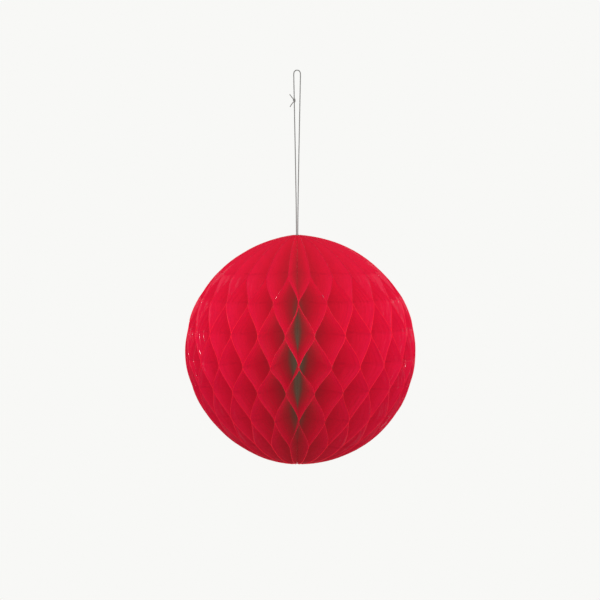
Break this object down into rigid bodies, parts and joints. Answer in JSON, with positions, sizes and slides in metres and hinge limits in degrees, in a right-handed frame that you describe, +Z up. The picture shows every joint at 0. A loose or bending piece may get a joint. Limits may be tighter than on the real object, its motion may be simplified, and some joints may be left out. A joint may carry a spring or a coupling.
{
  "type": "paper honeycomb ball",
  "caption": "Hanging tissue honeycomb ball: half-disc sheets glued at alternate levels round a spine open into diamond cells and fold flat between two boards.",
  "frame": {"origin": "where the string's loop hangs on its hook, at the underside of the thread's crown", "axes": "+Z up along the string and the spine; -Y is the ball's front, and the closing seam between the two boards is at +Y"},
  "size_m": [0.2032, 0.2032, 0.3486],
  "materials": {
    "tissue": "dyed tissue paper, slightly glazed, lets some light through",
    "board": "grey recycled board, matte, fibres visible",
    "adhesive_pad": "white double-sided foam adhesive, matte",
    "set_glue": "set white glue, slightly translucent",
    "thread": "white twisted cotton thread"
  },
  "bodies": {
    "hanger": {"hanging_string": "thread", "string_knot": "thread"},
    "spine": {"spine_core": "set_glue"},
    "left_board": {"card_left": "board", "adhesive_pad_upper": "adhesive_pad", "adhesive_pad_lower": "adhesive_pad"},
    "right_board": {"card_right": "board"},
    "sheet_01": {"tissue_sheet_01": "tissue"},
    "sheet_02": {"tissue_sheet_02": "tissue"},
    "sheet_03": {"tissue_sheet_03": "tissue"},
    "sheet_04": {"tissue_sheet_04": "tissue"},
    "sheet_05": {"tissue_sheet_05": "tissue"},
    "sheet_06": {"tissue_sheet_06": "tissue"},
    "sheet_07": {"tissue_sheet_07": "tissue"},
    "sheet_08": {"tissue_sheet_08": "tissue"},
    "sheet_09": {"tissue_sheet_09": "tissue"},
    "sheet_10": {"tissue_sheet_10": "tissue"},
    "sheet_11": {"tissue_sheet_11": "tissue"},
    "sheet_12": {"tissue_sheet_12": "tissue"},
    "sheet_13": {"tissue_sheet_13": "tissue"},
    "sheet_14": {"tissue_sheet_14": "tissue"},
    "sheet_15": {"tissue_sheet_15": "tissue"},
    "sheet_16": {"tissue_sheet_16": "tissue"},
    "sheet_17": {"tissue_sheet_17": "tissue"},
    "sheet_18": {"tissue_sheet_18": "tissue"},
    "sheet_19": {"tissue_sheet_19": "tissue"},
    "sheet_20": {"tissue_sheet_20": "tissue"},
    "sheet_21": {"tissue_sheet_21": "tissue"},
    "sheet_22": {"tissue_sheet_22": "tissue"},
    "sheet_23": {"tissue_sheet_23": "tissue"},
    "sheet_24": {"tissue_sheet_24": "tissue"},
    "sheet_25": {"tissue_sheet_25": "tissue"},
    "sheet_26": {"tissue_sheet_26": "tissue"},
    "sheet_27": {"tissue_sheet_27": "tissue"},
    "sheet_28": {"tissue_sheet_28": "tissue"},
    "sheet_29": {"tissue_sheet_29": "tissue"},
    "sheet_30": {"tissue_sheet_30": "tissue"},
    "sheet_31": {"tissue_sheet_31": "tissue"},
    "sheet_32": {"tissue_sheet_32": "tissue"},
    "sheet_33": {"tissue_sheet_33": "tissue"},
    "sheet_34": {"tissue_sheet_34": "tissue"},
    "sheet_35": {"tissue_sheet_35": "tissue"},
    "sheet_36": {"tissue_sheet_36": "tissue"},
    "sheet_37": {"tissue_sheet_37": "tissue"},
    "sheet_38": {"tissue_sheet_38": "tissue"},
    "sheet_39": {"tissue_sheet_39": "tissue"},
    "sheet_40": {"tissue_sheet_40": "tissue"},
    "sheet_41": {"tissue_sheet_41": "tissue"},
    "sheet_42": {"tissue_sheet_42": "tissue"},
    "sheet_43": {"tissue_sheet_43": "tissue"},
    "sheet_44": {"tissue_sheet_44": "tissue"},
    "sheet_45": {"tissue_sheet_45": "tissue"},
    "sheet_46": {"tissue_sheet_46": "tissue"},
    "sheet_47": {"tissue_sheet_47": "tissue"},
    "sheet_48": {"tissue_sheet_48": "tissue"}
  },
  "joints": [
    {"name": "ball_spin", "type": "hinge", "parent": "hanger", "child": "spine", "pos_m": [0, 0, 0], "axis": [0, 0, 1], "continuous": true},
    {"name": "left_board_fold", "type": "hinge", "parent": "spine", "child": "left_board", "pos_m": [0, 0, 0], "axis": [0, 0, 1], "range_deg": [0, 175]},
    {"name": "right_board_fold", "type": "hinge", "parent": "spine", "child": "right_board", "pos_m": [0, 0, 0], "axis": [0, 0, 1], "range_deg": [-175, 0]},
    {"name": "sheet_01_fold", "type": "hinge", "parent": "spine", "child": "sheet_01", "pos_m": [0, 0, 0], "axis": [0, 0, 1], "range_deg": [0, 175], "deforming": ["tissue_sheet_01"]},
    {"name": "sheet_02_fold", "type": "hinge", "parent": "spine", "child": "sheet_02", "pos_m": [0, 0, 0], "axis": [0, 0, 1], "range_deg": [0, 167.71], "deforming": ["tissue_sheet_02"]},
    {"name": "sheet_03_fold", "type": "hinge", "parent": "spine", "child": "sheet_03", "pos_m": [0, 0, 0], "axis": [0, 0, 1], "range_deg": [0, 160.42], "deforming": ["tissue_sheet_03"]},
    {"name": "sheet_04_fold", "type": "hinge", "parent": "spine", "child": "sheet_04", "pos_m": [0, 0, 0], "axis": [0, 0, 1], "range_deg": [0, 153.12], "deforming": ["tissue_sheet_04"]},
    {"name": "sheet_05_fold", "type": "hinge", "parent": "spine", "child": "sheet_05", "pos_m": [0, 0, 0], "axis": [0, 0, 1], "range_deg": [0, 145.83], "deforming": ["tissue_sheet_05"]},
    {"name": "sheet_06_fold", "type": "hinge", "parent": "spine", "child": "sheet_06", "pos_m": [0, 0, 0], "axis": [0, 0, 1], "range_deg": [0, 138.54], "deforming": ["tissue_sheet_06"]},
    {"name": "sheet_07_fold", "type": "hinge", "parent": "spine", "child": "sheet_07", "pos_m": [0, 0, 0], "axis": [0, 0, 1], "range_deg": [0, 131.25], "deforming": ["tissue_sheet_07"]},
    {"name": "sheet_08_fold", "type": "hinge", "parent": "spine", "child": "sheet_08", "pos_m": [0, 0, 0], "axis": [0, 0, 1], "range_deg": [0, 123.96], "deforming": ["tissue_sheet_08"]},
    {"name": "sheet_09_fold", "type": "hinge", "parent": "spine", "child": "sheet_09", "pos_m": [0, 0, 0], "axis": [0, 0, 1], "range_deg": [0, 116.67], "deforming": ["tissue_sheet_09"]},
    {"name": "sheet_10_fold", "type": "hinge", "parent": "spine", "child": "sheet_10", "pos_m": [0, 0, 0], "axis": [0, 0, 1], "range_deg": [0, 109.38], "deforming": ["tissue_sheet_10"]},
    {"name": "sheet_11_fold", "type": "hinge", "parent": "spine", "child": "sheet_11", "pos_m": [0, 0, 0], "axis": [0, 0, 1], "range_deg": [0, 102.08], "deforming": ["tissue_sheet_11"]},
    {"name": "sheet_12_fold", "type": "hinge", "parent": "spine", "child": "sheet_12", "pos_m": [0, 0, 0], "axis": [0, 0, 1], "range_deg": [0, 94.79], "deforming": ["tissue_sheet_12"]},
    {"name": "sheet_13_fold", "type": "hinge", "parent": "spine", "child": "sheet_13", "pos_m": [0, 0, 0], "axis": [0, 0, 1], "range_deg": [0, 87.5], "deforming": ["tissue_sheet_13"]},
    {"name": "sheet_14_fold", "type": "hinge", "parent": "spine", "child": "sheet_14", "pos_m": [0, 0, 0], "axis": [0, 0, 1], "range_deg": [0, 80.21], "deforming": ["tissue_sheet_14"]},
    {"name": "sheet_15_fold", "type": "hinge", "parent": "spine", "child": "sheet_15", "pos_m": [0, 0, 0], "axis": [0, 0, 1], "range_deg": [0, 72.92], "deforming": ["tissue_sheet_15"]},
    {"name": "sheet_16_fold", "type": "hinge", "parent": "spine", "child": "sheet_16", "pos_m": [0, 0, 0], "axis": [0, 0, 1], "range_deg": [0, 65.62], "deforming": ["tissue_sheet_16"]},
    {"name": "sheet_17_fold", "type": "hinge", "parent": "spine", "child": "sheet_17", "pos_m": [0, 0, 0], "axis": [0, 0, 1], "range_deg": [0, 58.33], "deforming": ["tissue_sheet_17"]},
    {"name": "sheet_18_fold", "type": "hinge", "parent": "spine", "child": "sheet_18", "pos_m": [0, 0, 0], "axis": [0, 0, 1], "range_deg": [0, 51.04], "deforming": ["tissue_sheet_18"]},
    {"name": "sheet_19_fold", "type": "hinge", "parent": "spine", "child": "sheet_19", "pos_m": [0, 0, 0], "axis": [0, 0, 1], "range_deg": [0, 43.75], "deforming": ["tissue_sheet_19"]},
    {"name": "sheet_20_fold", "type": "hinge", "parent": "spine", "child": "sheet_20", "pos_m": [0, 0, 0], "axis": [0, 0, 1], "range_deg": [0, 36.46], "deforming": ["tissue_sheet_20"]},
    {"name": "sheet_21_fold", "type": "hinge", "parent": "spine", "child": "sheet_21", "pos_m": [0, 0, 0], "axis": [0, 0, 1], "range_deg": [0, 29.17], "deforming": ["tissue_sheet_21"]},
    {"name": "sheet_22_fold", "type": "hinge", "parent": "spine", "child": "sheet_22", "pos_m": [0, 0, 0], "axis": [0, 0, 1], "range_deg": [0, 21.88], "deforming": ["tissue_sheet_22"]},
    {"name": "sheet_23_fold", "type": "hinge", "parent": "spine", "child": "sheet_23", "pos_m": [0, 0, 0], "axis": [0, 0, 1], "range_deg": [0, 14.58], "deforming": ["tissue_sheet_23"]},
    {"name": "sheet_24_fold", "type": "hinge", "parent": "spine", "child": "sheet_24", "pos_m": [0, 0, 0], "axis": [0, 0, 1], "range_deg": [0, 7.29], "deforming": ["tissue_sheet_24"]},
    {"name": "sheet_25_fold", "type": "hinge", "parent": "spine", "child": "sheet_25", "pos_m": [0, 0, 0], "axis": [0, 0, 1], "range_deg": [-7.29, 0], "deforming": ["tissue_sheet_25"]},
    {"name": "sheet_26_fold", "type": "hinge", "parent": "spine", "child": "sheet_26", "pos_m": [0, 0, 0], "axis": [0, 0, 1], "range_deg": [-14.58, 0], "deforming": ["tissue_sheet_26"]},
    {"name": "sheet_27_fold", "type": "hinge", "parent": "spine", "child": "sheet_27", "pos_m": [0, 0, 0], "axis": [0, 0, 1], "range_deg": [-21.88, 0], "deforming": ["tissue_sheet_27"]},
    {"name": "sheet_28_fold", "type": "hinge", "parent": "spine", "child": "sheet_28", "pos_m": [0, 0, 0], "axis": [0, 0, 1], "range_deg": [-29.17, 0], "deforming": ["tissue_sheet_28"]},
    {"name": "sheet_29_fold", "type": "hinge", "parent": "spine", "child": "sheet_29", "pos_m": [0, 0, 0], "axis": [0, 0, 1], "range_deg": [-36.46, 0], "deforming": ["tissue_sheet_29"]},
    {"name": "sheet_30_fold", "type": "hinge", "parent": "spine", "child": "sheet_30", "pos_m": [0, 0, 0], "axis": [0, 0, 1], "range_deg": [-43.75, 0], "deforming": ["tissue_sheet_30"]},
    {"name": "sheet_31_fold", "type": "hinge", "parent": "spine", "child": "sheet_31", "pos_m": [0, 0, 0], "axis": [0, 0, 1], "range_deg": [-51.04, 0], "deforming": ["tissue_sheet_31"]},
    {"name": "sheet_32_fold", "type": "hinge", "parent": "spine", "child": "sheet_32", "pos_m": [0, 0, 0], "axis": [0, 0, 1], "range_deg": [-58.33, 0], "deforming": ["tissue_sheet_32"]},
    {"name": "sheet_33_fold", "type": "hinge", "parent": "spine", "child": "sheet_33", "pos_m": [0, 0, 0], "axis": [0, 0, 1], "range_deg": [-65.62, 0], "deforming": ["tissue_sheet_33"]},
    {"name": "sheet_34_fold", "type": "hinge", "parent": "spine", "child": "sheet_34", "pos_m": [0, 0, 0], "axis": [0, 0, 1], "range_deg": [-72.92, 0], "deforming": ["tissue_sheet_34"]},
    {"name": "sheet_35_fold", "type": "hinge", "parent": "spine", "child": "sheet_35", "pos_m": [0, 0, 0], "axis": [0, 0, 1], "range_deg": [-80.21, 0], "deforming": ["tissue_sheet_35"]},
    {"name": "sheet_36_fold", "type": "hinge", "parent": "spine", "child": "sheet_36", "pos_m": [0, 0, 0], "axis": [0, 0, 1], "range_deg": [-87.5, 0], "deforming": ["tissue_sheet_36"]},
    {"name": "sheet_37_fold", "type": "hinge", "parent": "spine", "child": "sheet_37", "pos_m": [0, 0, 0], "axis": [0, 0, 1], "range_deg": [-94.79, 0], "deforming": ["tissue_sheet_37"]},
    {"name": "sheet_38_fold", "type": "hinge", "parent": "spine", "child": "sheet_38", "pos_m": [0, 0, 0], "axis": [0, 0, 1], "range_deg": [-102.08, 0], "deforming": ["tissue_sheet_38"]},
    {"name": "sheet_39_fold", "type": "hinge", "parent": "spine", "child": "sheet_39", "pos_m": [0, 0, 0], "axis": [0, 0, 1], "range_deg": [-109.38, 0], "deforming": ["tissue_sheet_39"]},
    {"name": "sheet_40_fold", "type": "hinge", "parent": "spine", "child": "sheet_40", "pos_m": [0, 0, 0], "axis": [0, 0, 1], "range_deg": [-116.67, 0], "deforming": ["tissue_sheet_40"]},
    {"name": "sheet_41_fold", "type": "hinge", "parent": "spine", "child": "sheet_41", "pos_m": [0, 0, 0], "axis": [0, 0, 1], "range_deg": [-123.96, 0], "deforming": ["tissue_sheet_41"]},
    {"name": "sheet_42_fold", "type": "hinge", "parent": "spine", "child": "sheet_42", "pos_m": [0, 0, 0], "axis": [0, 0, 1], "range_deg": [-131.25, 0], "deforming": ["tissue_sheet_42"]},
    {"name": "sheet_43_fold", "type": "hinge", "parent": "spine", "child": "sheet_43", "pos_m": [0, 0, 0], "axis": [0, 0, 1], "range_deg": [-138.54, 0], "deforming": ["tissue_sheet_43"]},
    {"name": "sheet_44_fold", "type": "hinge", "parent": "spine", "child": "sheet_44", "pos_m": [0, 0, 0], "axis": [0, 0, 1], "range_deg": [-145.83, 0], "deforming": ["tissue_sheet_44"]},
    {"name": "sheet_45_fold", "type": "hinge", "parent": "spine", "child": "sheet_45", "pos_m": [0, 0, 0], "axis": [0, 0, 1], "range_deg": [-153.12, 0], "deforming": ["tissue_sheet_45"]},
    {"name": "sheet_46_fold", "type": "hinge", "parent": "spine", "child": "sheet_46", "pos_m": [0, 0, 0], "axis": [0, 0, 1], "range_deg": [-160.42, 0], "deforming": ["tissue_sheet_46"]},
    {"name": "sheet_47_fold", "type": "hinge", "parent": "spine", "child": "sheet_47", "pos_m": [0, 0, 0], "axis": [0, 0, 1], "range_deg": [-167.71, 0], "deforming": ["tissue_sheet_47"]},
    {"name": "sheet_48_fold", "type": "hinge", "parent": "spine", "child": "sheet_48", "pos_m": [0, 0, 0], "axis": [0, 0, 1], "range_deg": [-175, 0], "deforming": ["tissue_sheet_48"]}
  ],
  "couplings": [
    {"joint": "right_board_fold", "follows": "left_board_fold", "ratio": -1},
    {"joint": "sheet_01_fold", "follows": "left_board_fold", "ratio": 1},
    {"joint": "sheet_02_fold", "follows": "left_board_fold", "ratio": 0.95833},
    {"joint": "sheet_03_fold", "follows": "left_board_fold", "ratio": 0.91667},
    {"joint": "sheet_04_fold", "follows": "left_board_fold", "ratio": 0.875},
    {"joint": "sheet_05_fold", "follows": "left_board_fold", "ratio": 0.83333},
    {"joint": "sheet_06_fold", "follows": "left_board_fold", "ratio": 0.79167},
    {"joint": "sheet_07_fold", "follows": "left_board_fold", "ratio": 0.75},
    {"joint": "sheet_08_fold", "follows": "left_board_fold", "ratio": 0.70833},
    {"joint": "sheet_09_fold", "follows": "left_board_fold", "ratio": 0.66667},
    {"joint": "sheet_10_fold", "follows": "left_board_fold", "ratio": 0.625},
    {"joint": "sheet_11_fold", "follows": "left_board_fold", "ratio": 0.58333},
    {"joint": "sheet_12_fold", "follows": "left_board_fold", "ratio": 0.54167},
    {"joint": "sheet_13_fold", "follows": "left_board_fold", "ratio": 0.5},
    {"joint": "sheet_14_fold", "follows": "left_board_fold", "ratio": 0.45833},
    {"joint": "sheet_15_fold", "follows": "left_board_fold", "ratio": 0.41667},
    {"joint": "sheet_16_fold", "follows": "left_board_fold", "ratio": 0.375},
    {"joint": "sheet_17_fold", "follows": "left_board_fold", "ratio": 0.33333},
    {"joint": "sheet_18_fold", "follows": "left_board_fold", "ratio": 0.29167},
    {"joint": "sheet_19_fold", "follows": "left_board_fold", "ratio": 0.25},
    {"joint": "sheet_20_fold", "follows": "left_board_fold", "ratio": 0.20833},
    {"joint": "sheet_21_fold", "follows": "left_board_fold", "ratio": 0.16667},
    {"joint": "sheet_22_fold", "follows": "left_board_fold", "ratio": 0.125},
    {"joint": "sheet_23_fold", "follows": "left_board_fold", "ratio": 0.083333},
    {"joint": "sheet_24_fold", "follows": "left_board_fold", "ratio": 0.041667},
    {"joint": "sheet_25_fold", "follows": "left_board_fold", "ratio": -0.041667},
    {"joint": "sheet_26_fold", "follows": "left_board_fold", "ratio": -0.083333},
    {"joint": "sheet_27_fold", "follows": "left_board_fold", "ratio": -0.125},
    {"joint": "sheet_28_fold", "follows": "left_board_fold", "ratio": -0.16667},
    {"joint": "sheet_29_fold", "follows": "left_board_fold", "ratio": -0.20833},
    {"joint": "sheet_30_fold", "follows": "left_board_fold", "ratio": -0.25},
    {"joint": "sheet_31_fold", "follows": "left_board_fold", "ratio": -0.29167},
    {"joint": "sheet_32_fold", "follows": "left_board_fold", "ratio": -0.33333},
    {"joint": "sheet_33_fold", "follows": "left_board_fold", "ratio": -0.375},
    {"joint": "sheet_34_fold", "follows": "left_board_fold", "ratio": -0.41667},
    {"joint": "sheet_35_fold", "follows": "left_board_fold", "ratio": -0.45833},
    {"joint": "sheet_36_fold", "follows": "left_board_fold", "ratio": -0.5},
    {"joint": "sheet_37_fold", "follows": "left_board_fold", "ratio": -0.54167},
    {"joint": "sheet_38_fold", "follows": "left_board_fold", "ratio": -0.58333},
    {"joint": "sheet_39_fold", "follows": "left_board_fold", "ratio": -0.625},
    {"joint": "sheet_40_fold", "follows": "left_board_fold", "ratio": -0.66667},
    {"joint": "sheet_41_fold", "follows": "left_board_fold", "ratio": -0.70833},
    {"joint": "sheet_42_fold", "follows": "left_board_fold", "ratio": -0.75},
    {"joint": "sheet_43_fold", "follows": "left_board_fold", "ratio": -0.79167},
    {"joint": "sheet_44_fold", "follows": "left_board_fold", "ratio": -0.83333},
    {"joint": "sheet_45_fold", "follows": "left_board_fold", "ratio": -0.875},
    {"joint": "sheet_46_fold", "follows": "left_board_fold", "ratio": -0.91667},
    {"joint": "sheet_47_fold", "follows": "left_board_fold", "ratio": -0.95833},
    {"joint": "sheet_48_fold", "follows": "left_board_fold", "ratio": -1}
  ]
}
